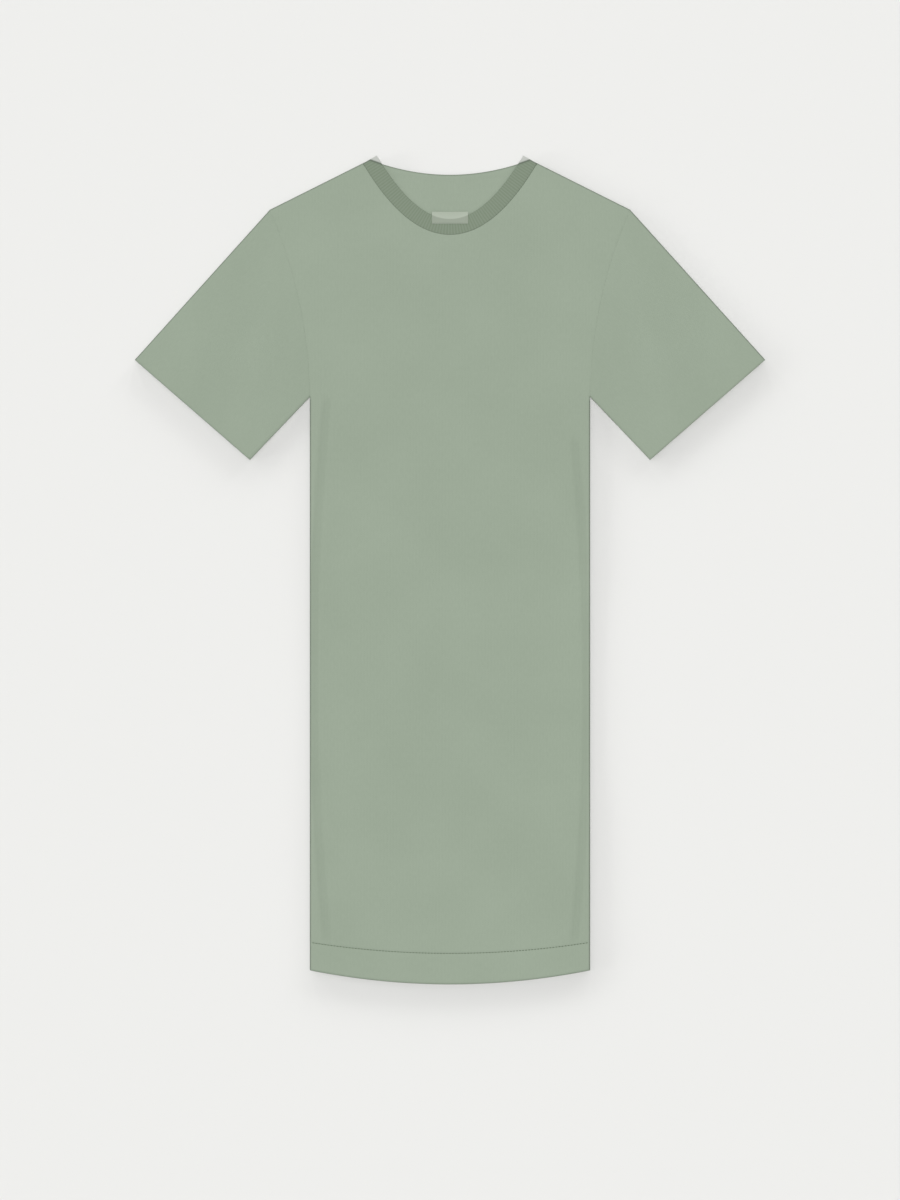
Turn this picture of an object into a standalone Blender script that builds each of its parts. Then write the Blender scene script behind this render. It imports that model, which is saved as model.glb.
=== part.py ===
"""A longline t-shirt laid flat, face up, as it lies on a table.

Plan sizes are the finished garment's. Lengths down the garment are drops, measured from the level of
the neck points, where the shoulder seams meet the neckline. +X is across, +Y runs towards the collar
and +Z is up. The origin lies on the table under the middle of the garment.
"""

from collections import namedtuple

import bmesh
import bpy
import numpy as np

MM = 0.001

# Plan of the garment, in metres
NECK_WIDTH = 200.0 * MM
BACK_NECK_DROP = 18.75 * MM
SHOULDER_WIDTH = 450.0 * MM
SHOULDER_DROP = 62.5 * MM
BODY_WIDTH = 350.0 * MM
UNDERARM_DROP = 296.25 * MM
ARMHOLE_BOW = 12.0 * MM
SLEEVE_TIP_X = 393.75 * MM
SLEEVE_TIP_DROP = 250.0 * MM
CUFF_CORNER_X = 250.0 * MM
CUFF_CORNER_DROP = 375.0 * MM
CUFF_TURN = 22.0 * MM
HEM_CORNER_DROP = 1012.5 * MM
HEM_SAG = 17.5 * MM
HEM_LINE_CORNER_DROP = 977.5 * MM
HEM_LINE_SAG = 13.75 * MM

# Neckband, sewn to the front neckline, and the label on it
BAND_WIDTH = 20.0 * MM
BAND_DROP = 83.75 * MM
BAND_THICKNESS = 1.8 * MM
BAND_CROWN = 0.25 * MM
BAND_LIFT_START = 0.6
BAND_LIFT_END = 0.9
LABEL_WIDTH = 45.0 * MM
LABEL_HEIGHT = 15.0 * MM
LABEL_TOP_DROP = 65.0 * MM
LABEL_THICKNESS = 1.0 * MM
LABEL_DROOP = 1.1 * MM

# Cloth, and how it lies
CLOTH = 1.0 * MM
SEAM_GAP = 0.3 * MM
SLEEVE_CLEARANCE = 0.37 * MM
PASSING_CLEARANCE = 0.45 * MM
ON_LINE = 0.03 * MM
ROLL_RADIUS = 3.5 * MM
ROLL_BLEND = 1.0 * MM
SEAM_HEIGHT = 2.3 * MM
LAID_HEIGHT = 3.8 * MM
TURNED_HEIGHT = 4.9 * MM
TURNED_BLEND = 30.0 * MM
BULGE_HEIGHT = 0.7 * MM
BULGE_REACH = 22.0 * MM
STITCH_DEPTH = 0.4 * MM
STITCH_HALF_WIDTH = 1.5 * MM
TURNED_PLY_END = 0.4 * MM
CREASE_SOFTENING = 0.45 * MM
CREASE_WIDTH = 0.8 * MM
FOLD_HALF_WIDTH = 5.0 * MM
FOLD_FADE = 25.0 * MM
NECK_EDGE_EXTRA = 0.6
NECK_EDGE_WIDTH = 8.0 * MM

# The long folds beside the side seams, in millimetres: side, where each starts and ends down the
# garment, how far in from the side seam it lies at its ends and at its middle, and its depth
Fold = namedtuple("Fold", "side top bottom inset nearest depth")
SIDE_FOLDS = (
    Fold(-1, 300.0, 975.0, 22.5, 5.0, 1.0),
    Fold(1, 350.0, 975.0, 20.0, 4.0, 0.9),
)

# Low swells of the upper layer, in millimetres: centre, half sizes along and across, turn in radians
# from across the garment towards down it, height
Swell = namedtuple("Swell", "x drop along across turn height")
SWELLS = (
    Swell(-70.0, 210.0, 90.0, 32.0, 0.9, 0.40),
    Swell(85.0, 235.0, 80.0, 34.0, -0.8, 0.35),
    Swell(-45.0, 430.0, 130.0, 38.0, 1.4, 0.38),
    Swell(60.0, 520.0, 140.0, 36.0, 1.7, 0.42),
    Swell(-30.0, 690.0, 120.0, 44.0, 1.5, 0.36),
    Swell(75.0, 800.0, 110.0, 34.0, 1.6, 0.38),
    Swell(-85.0, 860.0, 100.0, 32.0, 1.4, 0.34),
    Swell(-285.0, 245.0, 75.0, 30.0, 0.8, 0.45),
    Swell(280.0, 255.0, 75.0, 30.0, -0.8, 0.45),
)

# Spacing of the sections, in metres in from an edge: closer where the cloth rolls over or folds
ROLL_STEPS = (0.0, 0.7 * MM, 2.0 * MM, ROLL_RADIUS)
FOLD_STEPS = (6.0 * MM, 9.0 * MM, 12.5 * MM, 16.0 * MM, 20.0 * MM, 25.0 * MM, 34.0 * MM, 55.0 * MM)
BACK_STEPS = (20.0 * MM, 60.0 * MM)
ARMHOLE_STEPS = (10.0 * MM, 28.0 * MM, 55.0 * MM, 87.0 * MM)
BODY_ROWS = 17
BACK_ROWS = 5
SLEEVE_ROWS = 6
NECK_SECTIONS = 33
BACK_NECK_SECTIONS = 17
SHARP_ANGLE = np.radians(40.0)

# Colours, linear, and roughness
SAGE = (0.337, 0.402, 0.314)
RIB_SAGE = (0.231, 0.283, 0.212)
LABEL_PALE = (0.445, 0.491, 0.407)
COTTON_ROUGHNESS = 0.92
LABEL_ROUGHNESS = 0.7


def smooth(value):
    """Eases a share from 0 to 1."""
    share = np.clip(value, 0.0, 1.0)
    return share * share * (3.0 - 2.0 * share)


def band_slope(x):
    """Slope of the neckband's middle line, which is a parabola through both neck points."""
    return 2.0 * BAND_DROP * x / (NECK_WIDTH / 2.0) ** 2


def band_drop(x):
    return BAND_DROP * (1.0 - (x / (NECK_WIDTH / 2.0)) ** 2)


def band_across(x):
    """Unit direction across the band, from its seam into the neck opening."""
    slope = band_slope(np.asarray(x, float))
    return np.stack([-slope, np.ones_like(slope)], axis=-1) / np.sqrt(1.0 + slope**2)[..., None]


# The band's ends stand a little above the neck points, and the hem's middle is the lowest point
TIP_RISE = BAND_WIDTH / 2.0 * float(band_across(NECK_WIDTH / 2.0)[1])
NECK_Y = (HEM_CORNER_DROP + HEM_SAG - TIP_RISE) / 2.0


def point(x, drop):
    """A plan point, from how far across and how far down the garment it lies."""
    return np.array([x, NECK_Y - drop])


NECK_POINT = point(NECK_WIDTH / 2.0, 0.0)
SHOULDER_POINT = point(SHOULDER_WIDTH / 2.0, SHOULDER_DROP)
SLEEVE_TIP = point(SLEEVE_TIP_X, SLEEVE_TIP_DROP)
CUFF_CORNER = point(CUFF_CORNER_X, CUFF_CORNER_DROP)
UNDERARM = point(BODY_WIDTH / 2.0, UNDERARM_DROP)
HEM_CORNER = point(BODY_WIDTH / 2.0, HEM_CORNER_DROP)
HEM_LINE_CORNER = point(BODY_WIDTH / 2.0, HEM_LINE_CORNER_DROP)
MIRROR = np.array([-1.0, 1.0])

# Where the upper layer turns into the lower, on the +X side, with the cloth on the left of each line
ROLLED_EDGES = (
    (HEM_CORNER, UNDERARM),
    (UNDERARM, CUFF_CORNER),
    (SLEEVE_TIP, SHOULDER_POINT),
    (SHOULDER_POINT, NECK_POINT),
)


def unit(vector):
    return vector / np.linalg.norm(vector)


def band_point(x, across):
    """Plan points on the band, across metres from its middle line, towards the opening."""
    x = np.asarray(x, float)
    middle = np.stack([x, NECK_Y - band_drop(x)], axis=-1)
    return middle + band_across(x) * np.asarray(across, float)[..., None]


def front_neckline():
    """Plan points of the seam between the front and the neckband, and the places on the band they face."""
    places = np.linspace(-NECK_WIDTH / 2.0, NECK_WIDTH / 2.0, NECK_SECTIONS)
    seam = band_point(places, np.full(NECK_SECTIONS, -BAND_WIDTH / 2.0))
    along = unit(NECK_POINT - SHOULDER_POINT)
    corner = SHOULDER_POINT + along * ((seam[-1] - SHOULDER_POINT) @ along)
    seam[-1] = corner
    seam[0] = corner * MIRROR
    return seam, places


def back_neckline():
    x = np.linspace(-NECK_WIDTH / 2.0, NECK_WIDTH / 2.0, BACK_NECK_SECTIONS)
    return np.stack([x, NECK_Y - BACK_NECK_DROP * (1.0 - (x / (NECK_WIDTH / 2.0)) ** 2)], axis=-1)


def segment_offset(plan, start, end):
    """Vectors from the nearest points of a line between two points, and their lengths."""
    along = end - start
    share = np.clip((plan - start) @ along / (along @ along), 0.0, 1.0)
    offset = plan - (start + share[..., None] * along)
    return offset, np.linalg.norm(offset, axis=-1)


def from_edge(plan):
    """Distance of plan points from the nearest rolled edge, and the unit direction straight in from it.

    Near a corner the directions of both edges blend, so that the cloth turns it smoothly.
    """
    distances, directions = [], []
    for start, end in ROLLED_EDGES:
        along = unit(end - start)
        for mirror in (np.ones(2), MIRROR):
            offset, distance = segment_offset(plan, start * mirror, end * mirror)
            normal = np.array([-along[1], along[0]]) * mirror
            on_line = (distance < ON_LINE)[..., None]
            distances.append(distance)
            directions.append(np.where(on_line, normal, offset / np.maximum(distance, MM * MM)[..., None]))
    nearest = np.min(distances, axis=0)
    weights = np.exp((nearest - np.array(distances)) / ROLL_BLEND)[..., None]
    inward = (weights * np.array(directions)).sum(axis=0)
    return nearest, inward / np.maximum(np.linalg.norm(inward, axis=-1), MM)[..., None]


def hem_heights(x):
    """Plan height of the hem's edge and of its stitch line, at each x."""
    belly = 1.0 - (x / (BODY_WIDTH / 2.0)) ** 2
    return HEM_CORNER[1] - HEM_SAG * belly, HEM_LINE_CORNER[1] - HEM_LINE_SAG * belly


def from_turned_edge(plan):
    """Distance from the hem's or a cuff's folded edge, and how far above its stitch line a point lies."""
    edge, line = hem_heights(plan[..., 0])
    to_edge, above = plan[..., 1] - edge, plan[..., 1] - line
    for mirror in (np.ones(2), MIRROR):
        _, to_cuff = segment_offset(plan, CUFF_CORNER * mirror, SLEEVE_TIP * mirror)
        to_edge = np.minimum(to_edge, to_cuff)
        above = np.minimum(above, to_cuff - CUFF_TURN)
    return to_edge, above


def fold_depth(plan):
    """Depth of the long side folds: soft troughs along a bowed line, dying out at both ends."""
    x, drop = plan[..., 0] / MM, (NECK_Y - plan[..., 1]) / MM
    depth = np.zeros_like(x)
    for fold in SIDE_FOLDS:
        share = (drop - fold.top) / (fold.bottom - fold.top)
        inset = fold.inset - (fold.inset - fold.nearest) * 4.0 * share * (1.0 - share)
        line = fold.side * (BODY_WIDTH / 2.0 / MM - inset)
        fade = FOLD_FADE / MM
        ends = smooth((drop - fold.top) / fade) * smooth((fold.bottom - drop) / fade)
        depth += fold.depth * ends * np.exp(-2.0 * ((x - line) * MM / FOLD_HALF_WIDTH) ** 2)
    return depth * MM


def swell_height(plan):
    x, drop = plan[..., 0] / MM, (NECK_Y - plan[..., 1]) / MM
    height = np.zeros_like(x)
    for swell in SWELLS:
        right, down = x - swell.x, drop - swell.drop
        along = right * np.cos(swell.turn) + down * np.sin(swell.turn)
        across = down * np.cos(swell.turn) - right * np.sin(swell.turn)
        height += swell.height * np.exp(-((along / swell.along) ** 2) - (across / swell.across) ** 2)
    return height * MM


def upper_height(plan):
    """Height of the upper layer's outer face, away from where it rolls over."""
    distance, _ = from_edge(plan)
    _, above = from_turned_edge(plan)
    clear = smooth(above / TURNED_BLEND)
    height = TURNED_HEIGHT + (LAID_HEIGHT - TURNED_HEIGHT) * clear
    bulge = BULGE_HEIGHT * clear * np.exp(-((distance / BULGE_REACH) ** 2))
    from_line = np.abs(plan[..., 1] - hem_heights(plan[..., 0])[1])
    stitches = STITCH_DEPTH * np.clip(1.0 - from_line / STITCH_HALF_WIDTH, 0.0, 1.0)
    return height + bulge + swell_height(plan) - fold_depth(plan) - stitches


def layer(plan, face, gap, extra_plies):
    """Outer and inner points of one layer of cloth, upper where face is 1 and lower where it is -1.

    From the seam the outer face follows a quarter of an ellipse to where the cloth lies flat, and the
    inner face lies inside it by the thickness there: two plies where the cloth is turned in at the
    hem or cuff and one elsewhere. At the folded edge itself both faces draw together.
    """
    distance, inward = from_edge(plan)
    to_edge, above = from_turned_edge(plan)
    roll = np.clip(distance / ROLL_RADIUS, 0.0, 1.0)
    lift = np.sqrt(1.0 - (1.0 - roll) ** 2)
    wall = CLOTH * (1.0 + extra_plies + (above < -TURNED_PLY_END))
    soften = CREASE_SOFTENING * np.clip(1.0 - to_edge / CREASE_WIDTH, 0.0, 1.0)
    seam = SEAM_HEIGHT + face * gap / 2.0
    flat = upper_height(plan) if face > 0 else np.zeros(plan.shape[:-1])
    outer_height = seam + (flat - face * soften - seam) * lift
    inner_height = seam + (flat - face * (wall - soften) - seam) * lift
    shift = inward * (wall * (1.0 - roll))[..., None]
    outer = np.concatenate([plan, outer_height[..., None]], axis=-1)
    inner = np.concatenate([plan + shift, inner_height[..., None]], axis=-1)
    return outer, inner


def patch(bottom, top, left, right, up):
    """Rows of plan points that fill the space between four border lines; up is each row's share."""
    across = ((bottom[:, 0] - bottom[0, 0]) / (bottom[-1, 0] - bottom[0, 0]))[None, :, None]
    up = up[:, None, None]
    between_sides = left[:, None] * (1.0 - across) + right[:, None] * across
    between_ends = bottom[None] * (1.0 - up) + top[None] * up
    low = bottom[0] * (1.0 - across) + bottom[-1] * across
    high = top[0] * (1.0 - across) + top[-1] * across
    return between_sides + between_ends - low * (1.0 - up) - high * up


def armhole_shares():
    """Sections along the armhole, the same for the body and the sleeve, so that they match."""
    near = np.array(ROLL_STEPS + ARMHOLE_STEPS) / np.linalg.norm(SHOULDER_POINT - UNDERARM)
    return np.concatenate([near, [0.5], 1.0 - near[::-1]])


def armhole(clearance):
    """Plan points of the armhole seam on the +X side, from underarm to shoulder point.

    The seam bows into the body. clearance moves it out along the sleeve's own edges, which meet the
    armhole at a slant.
    """
    share = armhole_shares()[:, None]
    chord = SHOULDER_POINT - UNDERARM
    outward = unit(np.array([chord[1], -chord[0]]))
    bow = -ARMHOLE_BOW * 4.0 * share * (1.0 - share)
    along_sleeve = unit(CUFF_CORNER - UNDERARM) * (1.0 - share) + unit(SLEEVE_TIP - SHOULDER_POINT) * share
    return UNDERARM + share * chord + outward * bow + along_sleeve * clearance


def panel_rows(side_steps, body_rows, neckline):
    """Plan points of a whole panel, in rows from the hem's edge to the shoulders and neckline."""
    near = np.array(side_steps) / BODY_WIDTH
    columns = np.concatenate([near, 0.5 + neckline[:, 0] / SHOULDER_WIDTH, 1.0 - near[::-1]])
    x = (columns - 0.5) * BODY_WIDTH
    edge, line = hem_heights(x)
    hem = [edge, edge + CREASE_WIDTH, line - STITCH_HALF_WIDTH]
    drops = np.linspace(HEM_LINE_CORNER_DROP, UNDERARM_DROP, body_rows)
    drops = np.insert(drops, 1, HEM_LINE_CORNER_DROP - STITCH_HALF_WIDTH)
    seam = np.array([point(BODY_WIDTH / 2.0, drop) for drop in drops])
    right = np.concatenate([seam, armhole(0.0)[1:]])
    top_x = (columns - 0.5) * SHOULDER_WIDTH
    shoulder = np.array([SHOULDER_POINT * MIRROR, SHOULDER_POINT])
    knots = np.concatenate([shoulder[:1], neckline, shoulder[1:]])
    top = np.stack([top_x, np.interp(top_x, knots[:, 0], knots[:, 1])], axis=-1)
    up = (right[:, 1] - right[0, 1]) / (right[-1, 1] - right[0, 1])
    rows = patch(np.stack([x, line], axis=-1), top, right * MIRROR, right, up)
    return np.concatenate([[np.stack([x, height], axis=-1) for height in hem], rows])


def sleeve_rows():
    """Plan points of one layer of the +X sleeve, in rows from the armhole to the cuff's folded edge."""
    share = armhole_shares()[:, None]
    seam = armhole(SLEEVE_CLEARANCE)
    back_up = [unit(UNDERARM - CUFF_CORNER), unit(SHOULDER_POINT - SLEEVE_TIP)]
    in_turn = [
        (CUFF_CORNER + step * back_up[0]) * (1.0 - share) + (SLEEVE_TIP + step * back_up[1]) * share
        for step in (CUFF_TURN, CUFF_TURN - STITCH_HALF_WIDTH, CREASE_WIDTH, 0.0)
    ]
    out = np.linspace(0.0, 1.0, SLEEVE_ROWS)[:-1, None, None]
    return np.concatenate([seam * (1.0 - out) + in_turn[0] * out, in_turn])


def cloth_material(name, colour, roughness):
    material = bpy.data.materials.new(name)
    material.use_nodes = True
    shader = material.node_tree.nodes["Principled BSDF"]
    shader.inputs["Base Color"].default_value = (*colour, 1.0)
    shader.inputs["Roughness"].default_value = roughness
    shader.inputs["Metallic"].default_value = 0.0
    return material


def add_piece(name, points, faces, pivot, material):
    """One closed solid, as an object whose origin is at its pivot on the table."""
    mesh = bpy.data.meshes.new(name)
    mesh.from_pydata((points - pivot).tolist(), [], faces)
    shape = bmesh.new()
    shape.from_mesh(mesh)
    bmesh.ops.recalc_face_normals(shape, faces=shape.faces)
    shape.to_mesh(mesh)
    shape.free()
    mesh.materials.append(material)
    mesh.shade_smooth()
    mesh.set_sharp_from_angle(angle=SHARP_ANGLE)
    piece = bpy.data.objects.new(name, mesh)
    piece.location = pivot
    bpy.context.scene.collection.objects.link(piece)
    return piece


def grid_faces(rows, columns, closed):
    """Quads between neighbouring rows of a grid, all the way round where it is closed."""
    faces = []
    for row in range(rows - 1):
        for column in range(columns if closed else columns - 1):
            here = row * columns + column
            beside = row * columns + (column + 1) % columns
            faces.append((here, beside, beside + columns, here + columns))
    return faces


def add_wall(name, outer, inner, closed, pivot, material):
    """A wall of cloth from its outer and inner grids of points, with rims along its open edges."""
    rows, columns = outer.shape[:2]
    count = rows * columns
    faces = grid_faces(rows, columns, closed)
    faces += [tuple(corner + count for corner in reversed(face)) for face in faces]
    borders = [list(range(columns)), list(range(count - columns, count))]
    if closed:
        borders = [border + border[:1] for border in borders]
    else:
        borders += [list(range(0, count, columns)), list(range(columns - 1, count, columns))]
    for border in borders:
        for here, beside in zip(border, border[1:]):
            faces.append((here, beside, beside + count, here + count))
    points = np.concatenate([outer.reshape(-1, 3), inner.reshape(-1, 3)])
    return add_piece(name, points, faces, pivot, material)


def add_front(material):
    """The front: one panel from hem to shoulders, with the deep scoop that the neckband is sewn to."""
    neckline, _ = front_neckline()
    plan = panel_rows(ROLL_STEPS + FOLD_STEPS, BODY_ROWS, neckline)
    outer, inner = layer(plan, 1, SEAM_GAP, 0.0)
    add_wall("front_panel", outer, inner, False, np.zeros(3), material)


def add_back(material):
    """The back: lies flat on the table, shows its inside in the neck opening and has a turned neck edge."""
    neckline = back_neckline()
    plan = panel_rows(ROLL_STEPS + BACK_STEPS, BACK_ROWS, neckline)
    below = np.interp(plan[..., 0], neckline[:, 0], neckline[:, 1]) - plan[..., 1]
    reach = np.abs(plan[..., 0]) / (NECK_WIDTH / 2.0)
    in_opening = 1.0 - smooth((reach - BAND_LIFT_START) / (BAND_LIFT_END - BAND_LIFT_START))
    extra = NECK_EDGE_EXTRA * in_opening * (1.0 - smooth(below / NECK_EDGE_WIDTH))
    outer, inner = layer(plan, -1, SEAM_GAP, extra)
    add_wall("back_panel", outer, inner, False, np.zeros(3), material)


def add_sleeve(name, side, material):
    """A sleeve: a flattened tube, folded along its top and seamed underneath, open at both ends."""
    plan = sleeve_rows() * np.array([side, 1.0])
    upper = layer(plan, 1, 0.0, 0.0)
    lower = layer(plan, -1, 0.0, 0.0)
    outer, inner = [np.concatenate([up, down[:, -2:0:-1]], axis=1) for up, down in zip(upper, lower)]
    pivot = np.array([SHOULDER_POINT[0] * side, SHOULDER_POINT[1], 0.0])
    add_wall(name, outer, inner, True, pivot, material)


def band_middle(x, from_middle):
    """Height of the band's middle: level with the front at its seam, lower at the opening's edge.

    Towards the shoulder seams both edges rise, to pass over the back's rolled corner.
    """
    share = from_middle / BAND_WIDTH + 0.5
    at_seam = LAID_HEIGHT - CLOTH / 2.0
    at_opening = CLOTH + PASSING_CLEARANCE + BAND_THICKNESS / 2.0
    at_shoulder = SEAM_HEIGHT + PASSING_CLEARANCE + BAND_THICKNESS / 2.0
    reach = np.abs(x) / (NECK_WIDTH / 2.0)
    lifted = smooth((reach - BAND_LIFT_START) / (BAND_LIFT_END - BAND_LIFT_START))
    level = at_seam + (at_opening - at_seam) * share
    return level + (np.maximum(at_shoulder, level) - level) * lifted


def band_section():
    """The band's rounded section, all the way round: distance across and height from its middle."""
    half = BAND_THICKNESS / 2.0
    flat = BAND_WIDTH / 2.0 - SEAM_GAP - half
    turns = np.radians(np.linspace(-90.0, 90.0, 5))
    opening = [(flat + half * np.cos(turn), half * np.sin(turn)) for turn in turns]
    top = [(flat * share, half + BAND_CROWN * (1.0 - share**2)) for share in (0.5, 0.0, -0.5)]
    seam = [(-flat - half * np.cos(turn), half * np.sin(turn)) for turn in turns[::-1]]
    bottom = [(flat * share, -half) for share in (-0.4, 0.4)]
    return np.array(opening + top + seam + bottom)


def add_band(material):
    """The neckband: a folded rib strip from shoulder seam to shoulder seam, square at its ends."""
    _, places = front_neckline()
    section = band_section()
    across = np.tile(section[:, 0], (len(places), 1))
    x = np.tile(places[:, None], (1, len(section)))
    height = band_middle(x, across) + section[:, 1]
    points = np.concatenate([band_point(x, across), height[..., None]], axis=-1)
    rows, columns = x.shape
    faces = grid_faces(rows, columns, True)
    faces.append(tuple(range(columns)))
    faces.append(tuple(range((rows - 1) * columns, rows * columns)))
    add_piece("neck_band", points.reshape(-1, 3), faces, np.zeros(3), material)


def add_label(material):
    """The neck label: sewn by its lower edge to the band's face, drooping past the band's edge."""
    drops = LABEL_TOP_DROP + LABEL_HEIGHT * np.linspace(1.0, 0.0, 9)
    x, drop = np.meshgrid(np.linspace(-LABEL_WIDTH / 2.0, LABEL_WIDTH / 2.0, 9), drops)
    from_middle = (band_drop(x) - drop) / np.sqrt(1.0 + band_slope(x) ** 2)
    edge = BAND_WIDTH / 2.0
    on_band = np.clip(from_middle, -edge, edge)
    past = np.maximum(from_middle - edge, 0.0) / (LABEL_HEIGHT / 2.0)
    under = band_middle(x, on_band) + BAND_THICKNESS / 2.0 + BAND_CROWN * (1.0 - (on_band / edge) ** 2)
    under = under + SEAM_GAP - LABEL_DROOP * past**2
    bottom = np.stack([x, NECK_Y - drop, under], axis=-1)
    top = bottom + np.array([0.0, 0.0, LABEL_THICKNESS])
    pivot = np.array([*point(0.0, LABEL_TOP_DROP + LABEL_HEIGHT), 0.0])
    add_wall("neck_label", top, bottom, False, pivot, material)


def build():
    for obj in list(bpy.data.objects):
        bpy.data.objects.remove(obj)
    jersey = cloth_material("cotton_jersey", SAGE, COTTON_ROUGHNESS)
    rib = cloth_material("cotton_rib", RIB_SAGE, COTTON_ROUGHNESS)
    tape = cloth_material("woven_label", LABEL_PALE, LABEL_ROUGHNESS)
    add_back(jersey)
    add_front(jersey)
    add_sleeve("sleeve_right", -1.0, jersey)
    add_sleeve("sleeve_left", 1.0, jersey)
    add_band(rib)
    add_label(tape)


build()
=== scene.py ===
# A longline t-shirt laid flat, face up, on a pale table, seen from straight above

import bpy
import numpy as np
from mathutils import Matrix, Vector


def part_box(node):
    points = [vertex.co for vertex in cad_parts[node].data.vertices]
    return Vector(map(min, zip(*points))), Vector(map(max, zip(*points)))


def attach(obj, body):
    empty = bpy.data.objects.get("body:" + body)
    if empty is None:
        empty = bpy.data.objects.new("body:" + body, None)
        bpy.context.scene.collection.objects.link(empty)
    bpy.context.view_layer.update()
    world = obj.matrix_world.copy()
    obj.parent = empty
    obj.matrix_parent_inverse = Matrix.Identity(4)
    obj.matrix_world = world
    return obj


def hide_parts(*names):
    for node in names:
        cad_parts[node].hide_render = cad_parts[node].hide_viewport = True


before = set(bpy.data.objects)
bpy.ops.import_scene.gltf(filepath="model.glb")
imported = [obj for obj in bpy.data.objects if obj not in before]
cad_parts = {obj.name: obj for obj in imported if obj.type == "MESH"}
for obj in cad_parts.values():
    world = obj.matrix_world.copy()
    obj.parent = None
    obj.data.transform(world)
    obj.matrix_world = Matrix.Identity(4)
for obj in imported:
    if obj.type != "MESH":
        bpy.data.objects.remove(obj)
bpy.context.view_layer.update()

mm = 0.001
print("frame loaded")


def boxOf(node):
    # lowest and highest corner of a solid, in millimetres
    low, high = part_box(node)
    return np.array(low) / mm, np.array(high) / mm


backLow, backHigh = boxOf("back_panel")
_, frontHigh = boxOf("front_panel")
sleeveLow, sleeveHigh = boxOf("sleeve_left")
neckLevel = backHigh[1]  # the neck points stand at the back's highest edge

# the cut, in millimetres: x is measured from the middle, drops go down from the neck points
cut = {
    "neckX": 100.0,
    "backNeckDrop": 18.75,
    "shoulderX": frontHigh[0],
    "shoulderDrop": 62.5,
    "bodyX": 175.0,
    "underarmDrop": 296.25,
    "armholeBow": 12.0,
    "tipX": sleeveHigh[0],
    "tipDrop": 250.0,
    "cuffX": 250.0,
    "cuffDrop": neckLevel - sleeveLow[1],
    "cuffTurn": 22.0,
    "hemSag": 17.5,
    "hemLineDrop": 977.5,
    "hemLineSag": 13.75,
    "bandWidth": 20.0,
    "bandDrop": 83.75,
}
cut["hemDrop"] = neckLevel - backLow[1] - cut["hemSag"]

# how the cloth lies, in millimetres
lay = {
    "cloth": 1.0,
    "seamHeight": 2.3,
    "seamGap": 0.08,
    "flatHeight": 3.8,
    "turnedHeight": 4.9,
    "turnedBlend": 30.0,
    "plyStep": 0.8,
    "bulge": 0.7,
    "bulgeReach": 22.0,
    "roll": 3.5,
    "cornerBlend": 1.0,
    "onEdge": 0.03,
    "foldedEdge": 1.0,
    "foldedGap": 0.06,
    "seamValley": 0.3,
    "seamValleyReach": 1.3,
    "stitchGroove": 0.5,
    "stitchGrooveReach": 1.3,
    "deepestUnder": 0.6,
}


def ease(t):
    # smooth step: 3 t squared less 2 t cubed, held to 0 and 1 outside
    t = np.clip(t, 0.0, 1.0)
    return t * t * (3.0 - 2.0 * t)


def bell(distance, reach):
    # one on the line, dying away on both sides: e to the minus squared distance over reach
    return np.exp(-((distance / reach) ** 2))


def dome(x, half):
    # a parabola: one in the middle, nothing at half a width to either side
    return 1.0 - (x / half) ** 2


def arch(share):
    # the same parabola over a share that runs from nothing to one
    return 4.0 * share * (1.0 - share)


def unit(vector):
    # the same direction, one long
    return vector / np.linalg.norm(vector)


def pathLength(points):
    # how far along a chain of points each one lies: the running sum of the distances between them
    return np.concatenate([[0.0], np.cumsum(np.linalg.norm(np.diff(points, axis=0), axis=-1))])


def spot(x, drop):
    # a place on the table, from its distance down from the neck points
    return np.array([x, neckLevel - drop])


neckPoint = spot(cut["neckX"], 0.0)
shoulderPoint = spot(cut["shoulderX"], cut["shoulderDrop"])
sleeveTip = spot(cut["tipX"], cut["tipDrop"])
cuffCorner = spot(cut["cuffX"], cut["cuffDrop"])
underarm = spot(cut["bodyX"], cut["underarmDrop"])
hemCorner = spot(cut["bodyX"], cut["hemDrop"])
mirror = np.array([-1.0, 1.0])
bothSides = (np.ones(2), mirror)

# where the upper layer turns into the lower one, with the cloth on each line's left
rolledEdges = (
    (hemCorner, underarm),
    (underarm, cuffCorner),
    (sleeveTip, shoulderPoint),
    (shoulderPoint, neckPoint),
)


def spaced(start, end, step):
    # even steps from start up to, but not with, end
    return np.linspace(start, end, int(np.ceil(abs(end - start) / step)) + 1)[:-1]


def toLine(x, y, line):
    # shortest distance from every point to a chain of straight stretches
    start, along = line[:-1], np.diff(line, axis=0)
    dx, dy = x[..., None] - start[:, 0], y[..., None] - start[:, 1]
    share = np.clip((dx * along[:, 0] + dy * along[:, 1]) / (along**2).sum(axis=1), 0.0, 1.0)
    return np.hypot(dx - share * along[:, 0], dy - share * along[:, 1]).min(axis=-1)


def edgeField(x, y):
    # distance from the nearest rolled edge, and the direction straight in from it; near a corner the
    # directions of both edges are mixed, each weighed by how near it is
    plan = np.stack([x, y], axis=-1)
    distances, directions = [], []
    for start, end in rolledEdges:
        for side in bothSides:
            a, b = start * side, end * side
            along = b - a
            share = np.clip((plan - a) @ along / (along @ along), 0.0, 1.0)
            offset = plan - (a + share[..., None] * along)
            distance = np.linalg.norm(offset, axis=-1)
            straight = unit(end - start)
            normal = np.array([-straight[1], straight[0]]) * side
            onLine = (distance < lay["onEdge"])[..., None]
            distances.append(distance)
            directions.append(np.where(onLine, normal, offset / np.maximum(distance, 1e-6)[..., None]))
    nearest = np.min(distances, axis=0)
    weights = np.exp((nearest - np.array(distances)) / lay["cornerBlend"])[..., None]
    inward = (weights * np.array(directions)).sum(axis=0)
    inward /= np.maximum(np.linalg.norm(inward, axis=-1), 1e-3)[..., None]
    return nearest, inward


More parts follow.
